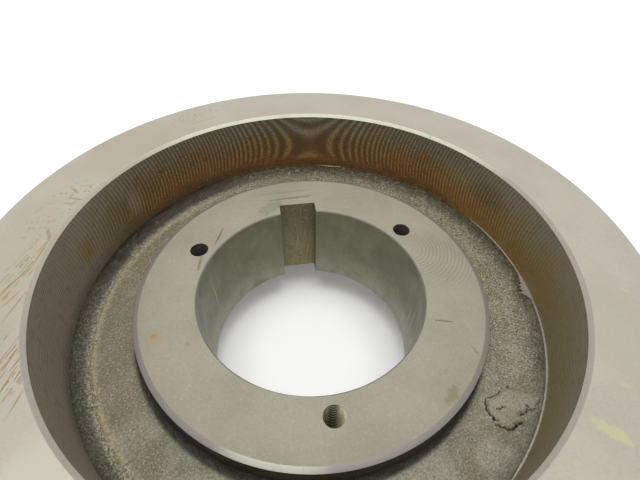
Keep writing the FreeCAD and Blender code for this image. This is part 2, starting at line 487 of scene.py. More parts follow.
def bored_wall():
    """The rim's inside, bored with a coarse feed and left to rust where water stood.

    Feed lines cross it, chatter beats against them in a fan each side of the keyway's line, and the rust
    runs from brown at the back through orange to olive as it thins towards the front.
    """
    material, tree, mm = start("bored_wall_with_rust")
    angle, _, height = around(tree, mm)
    depth = node(tree, "Math SUBTRACT", [rim_top, height])
    cloud = node(tree, "TexNoise", {"Vector": mm, "Scale": 1 / 9.0, "Detail": 4.0})
    wander = node(tree, "Math MULTIPLY_ADD", [cloud, 22.0, -11.0])
    ragged_depth = node(tree, "Math ADD", [depth, wander])
    low = node(tree, "MapRange", {"Value": ragged_depth, "From Min": 4.0, "From Max": 18.0}, SMOOTH)
    lowest = node(tree, "MapRange", {"Value": ragged_depth, "From Min": 10.0, "From Max": 30.0}, SMOOTH)
    bottom = node(tree, "MapRange", {"Value": ragged_depth, "From Min": 26.0, "From Max": 31.0}, SMOOTH)
    foot_ends = {"Value": depth, "From Min": 26.0, "From Max": 39.0, "To Max": 0.85}
    foot = node(tree, "MapRange", foot_ends, SMOOTH)
    patchy = grains(tree, mm, 11.0, 0.3, 0.6, 3.0, 0.8)
    layers = [
        # painted shade: the wall is darker over its far side
        ("776C58", facing(tree, mm, 86, 42, 75)),
        ("7D6B4A", times(tree, facing(tree, mm, 130, 14, 36), low)),
        ("958A62", times(tree, facing(tree, mm, 10, 45, 95), low)),
        ("755A32", times(tree, facing(tree, mm, 92, 48, 64), low)),
        ("A0722C", times(tree, facing(tree, mm, 36, 14, 34), lowest)),
        ("A0782E", times(tree, facing(tree, mm, 9, 15, 32), lowest, patchy)),
        ("8E5D26", times(tree, facing(tree, mm, 90, 46, 58), lowest)),
        ("84561E", times(tree, facing(tree, mm, 84, 40, 60), bottom)),
        ("93794A", blot_round(tree, angle, depth, 164.5, 19.5, 4.2, 7.0)),
        ("96907A", blot_round(tree, angle, depth, 144.5, 20.0, 3.0, 9.0)),
        ("6B5F44", blot_round(tree, angle, depth, 20.0, 15.0, 8.0, 8.0)),
        # painted shade: the wall darkens towards its foot, where it meets the web; at the back the darkening
        # is ragged and brown, dirt as well as painted shade
        ("3F362A", times(tree, facing(tree, mm, 160, 40, 70), foot)),
        ("3A2C1B", times(tree, facing(tree, mm, 78, 45, 65), foot, grains(tree, mm, 3.0, 0.42, 0.6, 3.0))),
        ("5A4530", grains(tree, mm, 2.6, 0.5, 0.75, 3.0, 0.35)),
        ("B8A070", grains(tree, mm, 1.2, 0.6, 0.72, 2.0, 0.4)),
    ]
    colour = coats(tree, paint("968E7D"), layers)
    # chatter marks: a saddle of beats, 19.4 below the edge, that tightens away from its middle
    off = node(tree, "Math SUBTRACT", [angle, CHATTER_MIDDLE])
    # off squared, but growing evenly where the stripes stop narrowing
    apart = node(tree, "Math ABSOLUTE", [off])
    held = node(tree, "Math MINIMUM", [apart, CHATTER_EVEN])
    short = node(tree, "Math MULTIPLY", [held, -1.0])
    twice = node(tree, "Math MULTIPLY_ADD", [apart, 2.0, short])
    off_squared = node(tree, "Math MULTIPLY", [held, twice])
    spread = node(tree, "Math DIVIDE", [off_squared, CHATTER_WIDTH])
    down = node(tree, "Math SUBTRACT", [depth, CHATTER_DEPTH])
    down_squared = node(tree, "Math POWER", [down, 2.0])
    beat = node(tree, "Math MULTIPLY_ADD", [down_squared, -CHATTER_BEND, spread])
    turns = node(tree, "Math MULTIPLY_ADD", [beat, 2 * pi, -2 * pi * CHATTER_START])
    wave = node(tree, "Math SINE", [turns])
    crest, valley = crest_and_root(tree, wave, (0.1, 1.0, 0.7), (0.2, -0.9, 0.45))
    clean = node(tree, "MapRange", {"Value": ragged_depth, "From Min": 31.0, "From Max": 25.0}, SMOOTH)
    uneven = grains(tree, mm, 1.0, 0.3, 0.6, 2.0)
    fan = times(tree, facing(tree, mm, CHATTER_MIDDLE, 40, 120), clean)
    golden = coats(tree, paint("A59C84"), [("C0A064", low)])
    colour = coats(tree, colour, [(golden, times(tree, crest, fan, uneven))])
    colour = coats(tree, colour, [("2B1F10", times(tree, valley, fan))])
    # each feed line has painted shade in its root and a painted highlight on its crest
    line = ripples(tree, depth, FEED, "COSINE")
    crest_highlight, root = crest_and_root(tree, line, (0.2, -1.0, 0.18), (-0.2, 1.0, 0.32))
    colour = coats(tree, colour, [("352C22", root), ("C2B79F", times(tree, crest_highlight, uneven))])
    surface(tree, colour, 0.55, 0.2, [(grains(tree, mm, 0.9, 0.2, 0.8), 0.03)])
    return material


def crest_and_root(tree, wave, crest, root):
    """Masks for the crests and roots of some waves, each as where it is gone, where full and how full."""
    masks = []
    for gone, full, strength in (crest, root):
        ends = {"Value": wave, "From Min": gone, "From Max": full, "To Max": strength}
        masks.append(node(tree, "MapRange", ends, SMOOTH))
    return masks


def blot_round(tree, angle, depth, middle, down, half_turn, half_depth):
    """A soft spot on the turned wall, placed by its angle and its depth below the rim's face."""
    turn = node(tree, "Math SUBTRACT", [angle, middle])
    drop = node(tree, "Math SUBTRACT", [depth, down])
    pair = node(tree, "CombineXYZ", [turn, drop])
    far = oval(tree, pair, half_turn, half_depth)
    return node(tree, "MapRange", {"Value": far, "From Min": 1.2, "From Max": 0.3, "To Max": 0.8}, SMOOTH)


def cast_skin():
    """Grey iron as it left a sand mould: a grey-green skin, grainy from the sand, pitted by the fillets."""
    material, tree, mm = start("sand_cast_skin")
    _, radius, _ = around(tree, mm)
    crack, bead, scab = [
        node(tree, "Attribute", settings={"attribute_name": name}, out="Fac") for name in WEB_MARKS
    ]
    foot_ends = {"Value": radius, "From Min": 96.6, "From Max": 99.6, "To Max": 0.9}
    foot = node(tree, "MapRange", foot_ends, SMOOTH)
    shade_side = facing(tree, mm, 175, 45, 80)
    shaded = node(tree, "MapRange", {"Value": shade_side, "To Min": 0.12, "To Max": 0.75})
    outer = node(tree, "MapRange", {"Value": radius, "From Min": 92.5, "From Max": 96.0}, SMOOTH)
    fillet = times(tree, outer, facing(tree, mm, 120, 95, 145))
    # the sand's grain shows most in the fillets and at the back, where less oil and dirt filled it
    grainy = facing(tree, mm, 55, 60, 120)
    most = node(tree, "Math MAXIMUM", [grainy, fillet])
    rough = node(tree, "MapRange", {"Value": most, "To Min": 0.42, "To Max": 0.9})
    # a ridge where the sand tore at the fillet, an oily run inside it, and dirt with painted shade in the
    # foot of the wall at the back
    ridge = times(tree, band(tree, radius, 93.5, 4.2), facing(tree, mm, 58, 50, 115))
    run = times(tree, band(tree, radius, 87.5, 4.0), facing(tree, mm, 42, 35, 75))
    foot_dirt_and_shade = times(tree, band(tree, radius, 102.0, 4.6), facing(tree, mm, 72, 55, 110))
    # painted shadow: a near-black band round the near side of the hub, over its rough outside and the web at
    # its foot
    barrel_ends = {"Value": radius, "From Min": 80.2, "From Max": 78.4, "To Max": 0.9}
    barrel = node(tree, "MapRange", barrel_ends, SMOOTH)
    oily = times(tree, facing(tree, mm, 165, 30, 70), grains(tree, mm, 9.0, 0.25, 0.5, 2.0, 0.75))
    rusty = times(tree, facing(tree, mm, 85, 60, 120), grains(tree, mm, 7.0, 0.35, 0.65, 3.0, 0.45))
    specks = grains(tree, mm, 0.9, 0.5, 0.64, 2.0, 0.85)
    layers = [
        ("6F6A54", grains(tree, mm, 14.0, 0.35, 0.65, 3.0, 0.8)),
        ("787258", oily),
        ("857550", rusty),
        ("867B4C", times(tree, run, grains(tree, mm, 4.0, 0.35, 0.6, 2.0, 0.6))),
        ("77705A", times(tree, fillet, grains(tree, mm, 3.0, 0.3, 0.6))),
        ("C4BEA5", times(tree, grains(tree, mm, 0.7, 0.5, 0.67, 2.0, 0.92), rough)),
        ("38332B", times(tree, grains(tree, mm, 0.8, 0.5, 0.66, 2.0, 0.82), rough)),
        ("B8B49E", times(tree, outer, facing(tree, mm, 175, 60, 90), specks)),
        ("C0B9A1", times(tree, ridge, grains(tree, mm, 0.75, 0.52, 0.68, 2.0, 0.75))),
        ("26221B", times(tree, ridge, grains(tree, mm, 0.9, 0.57, 0.67, 2.0, 0.75))),
        ("2F2A22", times(tree, foot, shaded)),
        ("2B2620", times(tree, foot, facing(tree, mm, 138, 16, 36), grains(tree, mm, 6.0, 0.25, 0.45))),
        ("4A3F2C", times(tree, foot_dirt_and_shade, grains(tree, mm, 3.0, 0.25, 0.5, 2.0, 0.6))),
        ("1C1914", times(tree, barrel, facing(tree, mm, 270, 85, 150))),
        # the bead is lighter and yellower than the web: a tint of its own and a painted highlight along it
        ("ADA37C", times(tree, bead, grains(tree, mm, 2.0, 0.3, 0.6))),
        ("A09A86", times(tree, scab, grains(tree, mm, 1.0, 0.75, 0.3, 2.0))),
        ("15120F", crack),
    ]
    colour = coats(tree, paint("969280"), layers)
    sand = grains(tree, mm, 0.8, 0.2, 0.8, 2.0)
    lumps = grains(tree, mm, 2.6, 0.2, 0.8, 2.0)
    surface(tree, colour, 0.6, 0.1, [(lumps, 0.25), (sand, 0.2)])
    return material


def reamed_bore():
    """The taper, reamed to fit its bushing and rubbed by it: darker, olive grey, with marks along it."""
    material, tree, mm = start("reamed_taper_bore")
    angle, _, height = around(tree, mm)
    depth = node(tree, "Math SUBTRACT", [hub_top, height])
    streak = grains(tree, mm, 1.4, 0.4, 0.75, 3.0, 0.2, (0, (1.0, 1.0, 8.0)))
    # painted light: the bore grows lighter towards its lower end, where the white table below lights it
    foot_ends = {"Value": height, "From Min": hub_bottom + 24, "From Max": hub_bottom}
    foot = node(tree, "MapRange", foot_ends, SMOOTH)
    layers = [
        ("85866A", facing(tree, mm, 80, 50, 120)),
        ("74745A", grains(tree, mm, 13.0, 0.35, 0.65, 3.0, 0.7)),
        ("5E5C44", streak),
        ("A3A48E", grains(tree, mm, 3.5, 0.55, 0.75, 3.0, 0.25)),
        ("B2B0A2", times(tree, foot, grains(tree, mm, 12.0, 0.1, 0.7, 2.0, 0.8))),
        ("56543E", grains(tree, mm, 1.2, 0.68, 0.74, 1.0, 0.5)),
    ]
    layers += [("B9BAA8", blot_round(tree, angle, depth, *score)) for score in SCORES]
    colour = coats(tree, paint("A1A18D"), layers)
    surface(tree, colour, 0.5, 0.25, [(streak, 0.02)])
    return material


def slotted_keyway():
    """The keyway, cut by a slotting tool: torn lines down its length under a dark olive film of old oil."""
    material, tree, mm = start("slotted_keyway")
    lines = grains(tree, mm, 0.8, 0.35, 0.75, 2.0, 0.45, (0, (1.0, 1.0, 12.0)))
    _, _, height = around(tree, mm)
    # painted light: the keyway grows lighter towards its lower end, where the white table below lights it
    low_ends = {"Value": height, "From Min": hub_top - 8, "From Max": hub_top - 30}
    low = node(tree, "MapRange", low_ends, SMOOTH)
    layers = [
        ("8F8760", low),
        ("4C4632", lines),
        ("B0A370", grains(tree, mm, 1.2, 0.55, 0.7, 2.0, 0.55)),
    ]
    surface(tree, coats(tree, paint("7A7254"), layers), 0.5, 0.3, [(lines, 0.05)])
    return material


def oiled_hole():
    """A tapped hole painted a dull brown black, with nothing bright in it."""
    material, tree, mm = start("dark_tapped_hole")
    colour = coats(tree, paint("3A322C"), [("241E1A", grains(tree, mm, 1.0, 0.4, 0.7))])
    surface(tree, colour, 0.5, 0.2)
    return material


def tapped_thread():
    """Freshly tapped iron under thin oil: crests painted bright and yellowish as a highlight, roots darkened
    on one side as painted shade.
    """
    material, tree, mm = start("tapped_thread")
    x, y, _ = turn_about(OPEN_SCREW_ANGLE, BOLT_CIRCLE_R, 0.0)
    moved = node(tree, "VectorMath SUBTRACT", [mm, (x, y, hub_top)])
    turn, _, height = around(tree, moved)
    share = node(tree, "Math MULTIPLY", [turn, 2 * pi / 360])
    helix = node(tree, "Math MULTIPLY_ADD", [height, -2 * pi / THREAD_PITCH, share])
    phase = node(tree, "Math SUBTRACT", [helix, 2 * pi * THREAD_START])
    wave = node(tree, "Math COSINE", [phase])
    root = node(tree, "MapRange", {"Value": wave, "From Min": 0.45, "From Max": 0.85}, SMOOTH)
    across = node(tree, "SeparateXYZ", [moved], out="X")
    # painted shade: the thread's roots are darkened on the left of the hole, so that its right side reads as
    # lit
    painted_shade_side = node(tree, "MapRange", {"Value": across, "From Min": 3.4, "From Max": 1.0}, SMOOTH)
    layers = [
        ("D2C890", grains(tree, mm, 1.0, 0.4, 0.7, 2.0, 0.7)),
        ("2A2014", times(tree, root, painted_shade_side)),
    ]
    # the near-white base is a painted highlight
    surface(tree, coats(tree, paint("FFFBE0"), layers), 0.2, 0.1)
    return material


def turned_groove():
    """Iron turned with a form tool and not yet polished by a belt: an even cool grey satin."""
    material, tree, mm = start("turned_belt_groove")
    _, radius, _ = around(tree, mm)
    layers = [
        ("979285", grains(tree, mm, 14.0, 0.3, 0.75, 3.0)),
        ("6B665B", grains(tree, mm, 0.9, 0.6, 0.8, 2.0, 0.4)),
    ]
    colour = coats(tree, paint("A39E91"), layers)
    # form tool lines are about 0.1 apart; they are drawn 0.6 apart so that they show
    lines = ripples(tree, radius, 0.6)
    surface(tree, colour, 0.42, 0.5, [(lines, 0.004), (grains(tree, mm, 0.8, 0.2, 0.8), 0.02)])
    return material


def torn_step():
    """Where the boring tool ran out and tore the casting: clean bright iron."""
    material, tree, mm = start("torn_bright_step")
    _, radius, _ = around(tree, mm)
    inner = node(tree, "MapRange", {"Value": radius, "From Min": 101.4, "From Max": 100.6}, SMOOTH)
    layers = [
        ("8F8A78", grains(tree, mm, 1.6, 0.5, 0.75)),
        ("A7A28E", times(tree, inner, grains(tree, mm, 2.0, 0.3, 0.6))),
        ("6E6858", times(tree, inner, grains(tree, mm, 1.1, 0.5, 0.6, 2.0, 0.6))),
    ]
    colour = coats(tree, paint("AFAA9B"), layers)
    surface(tree, colour, 0.5, 0.2, [(grains(tree, mm, 0.7, 0.2, 0.8), 0.06)])
    return material


# tint, place on the face, half length, half width, turn, raggedness, strength, grain
RIM_MARKS = [
    ("C6C3B2", (-75, -85), 45, 24, 35, 0.6, 0.7, 20.0),
    ("A9A795", (100, -62), 40, 22, -60, 0.5, 0.45, 18.0),
    ("A8A28E", (-80, 82), 38, 20, 45, 0.4, 0.6, 14.0),
    ("ADA68F", (-112, 8), 45, 14, 90, 0.4, 0.5, 14.0),
    ("A19A85", (-112, -36), 16, 9, 70, 0.4, 0.4, 9.0),
    ("A0783F", (-101, 46.4), 3.4, 0.7, -50, 0.5, 0.6, 1.5),
    ("A0783F", (-98.5, 40), 5.0, 0.6, -18, 0.6, 0.6, 1.5),
    ("987A4E", (-104.0, 8.0), 9.0, 0.34, 82, 0.4, 0.8, 1.5),
    ("987A4E", (-108.3, -4.4), 8.5, 0.34, 60, 0.4, 0.8, 1.5),
    ("987A4E", (-104.7, -16.5), 8.0, 0.32, 74, 0.6, 0.7, 1.5),
    ("987A4E", (-107.3, -13.8), 5.0, 0.32, 60, 0.6, 0.7, 1.5),
    ("987A4E", (-99.2, -38.2), 5.5, 0.3, 76, 0.6, 0.7, 1.5),
    ("987A4E", (-97.0, -43.5), 5.5, 0.3, 76, 0.6, 0.7, 1.5),
    ("987A4E", (-92.6, -52.4), 5.0, 0.3, 76, 0.6, 0.7, 1.5),
    ("A8804A", (-101.7, 42.6), 2.9, 0.5, 70, 0.5, 0.5, 1.5),
    ("A0783F", (-101, 37.3), 3.2, 0.6, -12, 0.6, 0.5, 1.5),
    ("A98B5A", (-95.5, 49.5), 3.4, 0.6, 10, 0.6, 0.45, 1.5),
    ("9A7446", (-104.2, 18.6), 5.0, 0.8, -68, 0.5, 0.55, 1.5),
    ("A89A6C", (-103.2, 11.5), 6.0, 1.6, 70, 0.5, 0.45, 2.0),
    ("A89468", (-113.0, 34.0), 2.6, 0.8, 70, 0.5, 0.45, 1.5),
    ("A88A58", (-46.0, 103.0), 9.0, 0.7, 25, 0.7, 0.4, 2.0),
    ("BABC90", (72.7, -85.2), 6.0, 2.2, -47, 0.6, 0.7, 1.8),
    ("B8BA98", (109.5, -40.4), 2.0, 0.9, -26, 0.7, 0.5, 1.5),
    ("B8BA98", (85.2, -73.3), 2.6, 0.9, -28, 0.7, 0.45, 1.5),
]
HUB_MARKS = [
    ("A8702F", (-66.4, -16.7), 1.6, 1.2, 20, 0.4, 0.7, 1.2),
    ("A89A68", (-66.0, -18.5), 4.5, 3.5, 0, 0.4, 0.3, 1.2),
    ("94793F", (-52.7, -22.3), 1.1, 0.7, -60, 0.4, 0.6, 1.2),
    ("55523F", (-41.5, 37.5), 6.2, 0.5, 72, 0.5, 0.75, 1.0),
    ("6C6A4A", (-50.2, 20.0), 5.2, 0.8, 82, 0.7, 0.6, 1.0),
    ("66624C", (52.5, -26.6), 4.6, 0.5, -15, 0.5, 0.7, 1.0),
    ("7E7A50", (59.9, -41.4), 2.4, 0.4, -74, 0.7, 0.6, 1.2),
    ("7F8468", (-14.5, 55.5), 8.0, 4.5, 35, 0.8, 0.6, 2.0),
    ("6E6E50", (-3.0, 62.5), 15.0, 0.7, 3, 0.8, 0.7, 1.2),
    ("77775C", (-6.0, 68.0), 18.0, 0.6, 2, 0.8, 0.5, 1.2),
    ("76744F", (44.0, -57.5), 5.0, 2.2, 50, 0.7, 0.5, 1.6),
]

# scores in the bore: angle, depth below the hub's face, half width in degrees, half length
SCORES = [(-4.0, 34.0, 0.4, 13.0), (2.5, 41.0, 0.35, 9.0), (-9.5, 27.0, 0.6, 12.0), (158.0, 22.0, 0.5, 14.0)]

finishes = {
    "rim_face": faced_iron("faced_rim_iron", "B5AFA1", "AFA99B", 0.35, rim_marks),
    "hub_face": faced_iron("faced_hub_iron", "A39D8B", "9B9584", 0.6, hub_marks),
    "rim_edge": edge_iron("formed_rim_edge", "A9A297", "C9CAB6", (76, 42, 64), [("B3AC9C", (158, 22, 40))]),
    "hub_edge": edge_iron("formed_hub_edge", "847D78", "ABAC9D", (252, 5, 17)),
    "wall": bored_wall(),
    "cast": cast_skin(),
    "bore": reamed_bore(),
    "keyway": slotted_keyway(),
    "thread": tapped_thread(),
    "oiled_hole": oiled_hole(),
    "groove": turned_groove(),
    "step": torn_step(),
}


# --------------------------------------------------------------------------------------------- pieces


def dress(piece, slot, *nodes):
    """Sets a piece on the pulley in place of its CAD nodes."""
    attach(piece, "root")
    if nodes:
        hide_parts(*nodes)
    return piece


def rim_band_section():
    """The ring under the grooves: faced ends, feed lines on the turned inside, rough below the web."""
    slope = tan(radians(CAST_DRAFT))
    section = [
        (wall_r + cast_wall_top * slope + INNER_CHAMFER, 0.0, "rim_face"),
        (band_r, 0.0, "groove"),
        (band_r, rim_top, "rim_face"),
        (wall_r + INNER_CHAMFER, rim_top, "rim_edge"),
        (wall_r, rim_top - INNER_CHAMFER, "wall"),
        (wall_r, turned_end, "cast"),
        (wall_r, cast_wall_top, "cast"),
        (wall_r + (cast_wall_top - INNER_CHAMFER) * slope, INNER_CHAMFER, "rim_edge"),
    ]
    section = softened(section, 0.25)
    on_wall = [i for i, (_, _, finish) in enumerate(section) if finish == "wall"]
    top = min(i for i in on_wall if section[i][1] < rim_top - INNER_CHAMFER)
    last = max(i for i in on_wall if section[i][1] > turned_end)
    lines = int((section[top][1] - section[last][1]) / FEED)
    feed_lines = []
    high = section[top][1]
    for line in range(lines):
        for part in (0.0, 0.25, 0.5, 0.75):
            hollow = FEED_DEPTH * (1 - (2 * part - 1) ** 2)
            feed_lines.append((wall_r + hollow, high - (line + part) * FEED, "wall"))
    return section[:top] + feed_lines + section[last:]


def groove_centre(index):
    return GROOVE_EDGE + index * GROOVE_SPACING


def half_groove(depth):
    """Half of a groove's width at this depth below the outside of the rim."""
    return GROOVE_TOP_WIDTH / 2 - depth * tan(radians(GROOVE_ANGLE / 2))


def land_side(index):
    """One side of a land from its root to its top, as (r, z): a groove's flank, or the face of the rim."""
    if index == 0:
        return [(band_r, 0.0), (outside_r - RIM_CHAMFER, 0.0), (outside_r, RIM_CHAMFER)]
    top = groove_centre(index - 1) + half_groove(LAND_CHAMFER)
    return [
        (band_r, groove_centre(index - 1) + half_groove(groove_depth)),
        (outside_r - LAND_CHAMFER, top),
        (outside_r, top + LAND_CHAMFER),
    ]


def land_section(index):
    """A rib between two belt grooves. The first and the last are the ends of the rim."""
    lower = land_side(index)
    upper = [(r, rim_top - z) for r, z in land_side(GROOVES - index)]
    faces = ["rim_face" if index == 0 else "groove", "rim_edge", "groove"]
    faces += ["rim_edge", "rim_face" if index == GROOVES else "groove", "groove"]
    return [(r, z, finish) for (r, z), finish in zip(lower + upper[::-1], faces)]


def make_rim():
    dress(turned("turned_rim_band", rim_band_section(), finishes), "turned_rim", "rim_band")
    for index in range(GROOVES + 1):
        name = f"groove_land_{index + 1}"
        section = softened(land_section(index), 0.2)
        dress(turned("turned_" + name, section, finishes), "turned_rim", name)


def web_angles():
    """Angles round the web: about 0.7 mm apart, and closer where the cold shut needs more detail."""
    angles = []
    angle = -180.0
    while angle < 180.0 - 1e-6:
        angles.append(angle)
        angle += 0.125 if -48.3 < angle < -34.5 else 0.43
    return angles


# a cold shut: metal that flowed over chilled metal and left a lump with a cracked edge
SCAB = [
    (61.3, -56.7), (60.4, -58.4), (59.8, -60.4), (60.5, -62.4), (61.1, -64.1), (62.0, -64.7),
    (60.9, -66.3), (62.6, -67.5), (64.6, -68.6), (67.2, -68.7), (69.8, -67.3), (71.8, -66.7),
    (71.9, -64.2), (74.4, -63.6), (77.5, -63.3), (79.6, -61.6), (81.0, -60.2), (80.6, -57.4),
    (77.6, -54.8), (73.4, -53.4), (70.4, -53.2), (67.5, -55.0), (64.4, -55.8),
]
# each crack as its half width in millimetres and its course
CRACKS = [
    (0.12, [(61.3, -56.7), (60.4, -58.0), (60.5, -59.4), (59.7, -60.4), (60.4, -61.3), (60.5, -62.4)]),
    (0.16, [(60.5, -62.4), (61.2, -63.0), (61.1, -64.1), (62.0, -64.7)]),
    (0.08, [(60.9, -66.3), (61.9, -66.6), (62.6, -67.5), (64.1, -67.6), (64.6, -68.6)]),
    (0.20, [(64.6, -68.6), (65.7, -68.7), (67.2, -68.7), (68.5, -67.6), (69.8, -67.3), (71.8, -66.7)]),
    (0.14, [(71.9, -64.2), (73.3, -63.8), (74.4, -63.6), (75.4, -62.8), (76.3, -63.3), (77.5, -63.3)]),
    (0.08, [(75.4, -62.8), (76.1, -62.1), (76.1, -61.1)]),
    (0.07, [(63.5, -60.9), (65.0, -61.0), (66.2, -60.5), (67.5, -60.5)]),
    (0.04, [(78.3, -62.4), (79.6, -61.6), (81.0, -60.2)]),
    (0.01, [(61.3, -56.7), (62.8, -55.9), (64.4, -55.8), (66.0, -55.2), (67.5, -55.0), (68.4, -54.0)]),
    (0.04, [(72.1, -53.4), (72.6, -52.4)]),
]


def to_line(x, y, line):
    """How far a place is from a bent line."""
    best = 1e9
    for (ax, ay), (bx, by) in zip(line, line[1:]):
        dx, dy = bx - ax, by - ay
        t = min(max(((x - ax) * dx + (y - ay) * dy) / (dx * dx + dy * dy), 0.0), 1.0)
        best = min(best, hypot(x - ax - t * dx, y - ay - t * dy))
    return best


def inside(x, y, outline):
    """Whether a place is inside an outline."""
    found = False
    for (ax, ay), (bx, by) in zip(outline, outline[1:] + outline[:1]):
        if (ay > y) != (by > y) and x < (bx - ax) * (y - ay) / (by - ay) + ax:
            found = not found
    return found


def quarter_turn(first, steps):
    """The angles from this one through a quarter turn, in radians."""
    return [radians(first + 90 * i / steps) for i in range(steps + 1)]


def web_section(angle):
    """The web's upper surface at one angle, from the hub to the step, as (r, z, outward r, outward z)."""
    foot = hub_r - HUB_OVERLAP
    path = []
    for a in quarter_turn(180, 9):
        r, z = foot + HUB_FILLET * (1 + cos(a)), web_top + HUB_FILLET * (1 + sin(a))
        path.append((r, z, -cos(a), -sin(a)))
    first, last = foot + HUB_FILLET, wall_r - step_width(angle) - WEB_FILLET
    for i in range(1, WEB_ROWS):
        path.append((first + (last - first) * i / WEB_ROWS, web_top, 0.0, 1.0))
    for a in quarter_turn(270, 19):
        path.append((last + WEB_FILLET * cos(a), turned_end + WEB_FILLET * sin(a), -cos(a), -sin(a)))
    return path


def web_underside():
    """From the turned step down the hidden outside, along the underside and up inside the hub."""
    outside = wall_r + WALL_OVERLAP
    path = [(outside, turned_end - WALL_OVERLAP), (outside, cast_wall_top)]
    for a in quarter_turn(0, 8):
        path.append((wall_r - WEB_FILLET * (1 - cos(a)), cast_wall_top + WEB_FILLET * sin(a)))
    first = wall_r - WEB_FILLET
    for i in range(1, 12):
        path.append((first - (first - hub_r - HUB_FILLET) * i / 12, web_bottom))
    for a in quarter_turn(90, 7):
        path.append((hub_r + HUB_FILLET * (1 + cos(a)), web_bottom - HUB_FILLET * (1 - sin(a))))
    inside_r = hub_r - 3.0
    return path + [(inside_r, web_bottom - HUB_FILLET), (inside_r, web_top + HUB_FILLET)]


def roughness_at(x, y, z, size):
    """Between about -1 and 1, with lumps of this size in millimetres."""
    return noise.noise((x / size, y / size, z / size))


def cold_shut_at(x, y):
    """How deep a place on the web is in a crack and how high on the lump, each from 0 to 1."""
    bent_x = x + 0.35 * roughness_at(x, y, 3.0, 0.9)
    bent_y = y + 0.35 * roughness_at(x, y, 9.0, 0.9)
    ragged = 1 + 1.1 * roughness_at(x, y, 7.0, 1.4)
    crack, scab = 0.0, 0.0
    for half_width, line in CRACKS:
        gap = to_line(bent_x, bent_y, line) - half_width * ragged
        crack = max(crack, 1 - between(gap, -0.06, 0.2))
    if inside(bent_x, bent_y, SCAB):
        scab = between(to_line(bent_x, bent_y, SCAB + SCAB[:1]), 0.0, 1.6)
    return crack, scab


def make_web():
    """The solid disc between hub and rim: a rough skin above and below, its edges sunk into hub and rim."""
    shape = Shape("cast_web", finishes)
    marks = []
    columns = []
    for angle in web_angles():
        a = radians(angle)
        left = between(cos(radians(angle - 175)), cos(radians(75)), cos(radians(40)))
        column = []
        for r, z, nr, nz in web_section(angle):
            near_hub = 1 - between(r, hub_r, hub_r + 16)
            x, y, _ = turn_about(angle, r, z, [c * near_hub for c in CORE_SHIFT])
            # the sand's lumps, its coarse grain and its fine grain
            push = 0.30 * roughness_at(x, y, z, 9.0) + 0.16 * roughness_at(x, y, z + 50, 3.2)
            push += 0.13 * roughness_at(x, y, z - 50, 1.3)
            # pits where the sand washed away, most of them by the foot of the wall
            pitted = 0.25 + 0.5 * between(r, 94, 98)
            push += pitted * min(0.0, roughness_at(x, y, z + 90, 2.2) + 0.25)
            # a bead that runs along the fillet on the left
            bead = left * exp(-(((r - BEAD_R) / 1.3) ** 2))
            push += 0.7 * bead
            crack, scab = 0.0, 0.0
            # the cold shut lies between these angles and radii
            if -50 < angle < -32 and 82 < r < 101:
                crack, scab = cold_shut_at(x, y)
                if scab:
                    push = 0.7 * push + 0.75 * scab
                push -= 0.8 * crack
            # the skin keeps its place where it meets the turned wall
            push *= between(turned_end - z, 0.0, 1.2)
            column.append((x + push * nr * cos(a), y + push * nr * sin(a), z + push * nz))
            marks.append((crack, bead * 0.7, scab * 0.7))
        for r, z in web_underside():
            x, y, _ = turn_about(angle, r, z)
            push = 0.30 * roughness_at(x, y, z, 8.0) + 0.2 * roughness_at(x, y, z, 2.6)
            column.append((x, y, z + (push if hub_r < r < wall_r else 0.0)))
            marks.append((0.0, 0.0, 0.0))
        columns.append(shape.ring(column))
    for i, column in enumerate(columns):
        shape.join(column, columns[(i + 1) % len(columns)], "cast")
    piece = shape.make()
    for name, values in zip(WEB_MARKS, zip(*marks)):
        piece.data.attributes.new(name, "FLOAT", "POINT").data.foreach_set("value", values)
    dress(piece, "rough_casting", "web")


def bore_outline(level, grow):
    """The bore with its keyway at one level, round from one side of the keyway to the other."""
    taper_r = BORE_R - (hub_top - level) * BORE_TAPER
    r = taper_r + grow
    half = KEYWAY_WIDTH / 2
    corner = degrees(asin(half / r))
    floor = taper_r + KEYWAY_DEPTH
    points = []
    for i in range(ARC_STEPS + 1):
        points.append(turn_about(90 + corner + (360 - 2 * corner) * i / ARC_STEPS, r, level))
    for i in range(FLOOR_STEPS + 1):
        points.append((half - KEYWAY_WIDTH * i / FLOOR_STEPS, floor, level))
    return points


def hub_outside(level, radius, rough):
    """A ring of the hub's outside, off the axis by the core's shift, rough where it is as cast."""
    points = []
    for i in range(STEPS_ROUND):
        angle = 360 * i / STEPS_ROUND
        x, y, _ = turn_about(angle, 1.0, level)
        lumps, grain = [roughness_at(60 * x, 60 * y, level, size) for size in (7.0, 2.0)]
        push = rough * (0.5 * lumps + 0.25 * grain)
        points.append(turn_about(angle, radius + push, level, CORE_SHIFT))
    return points


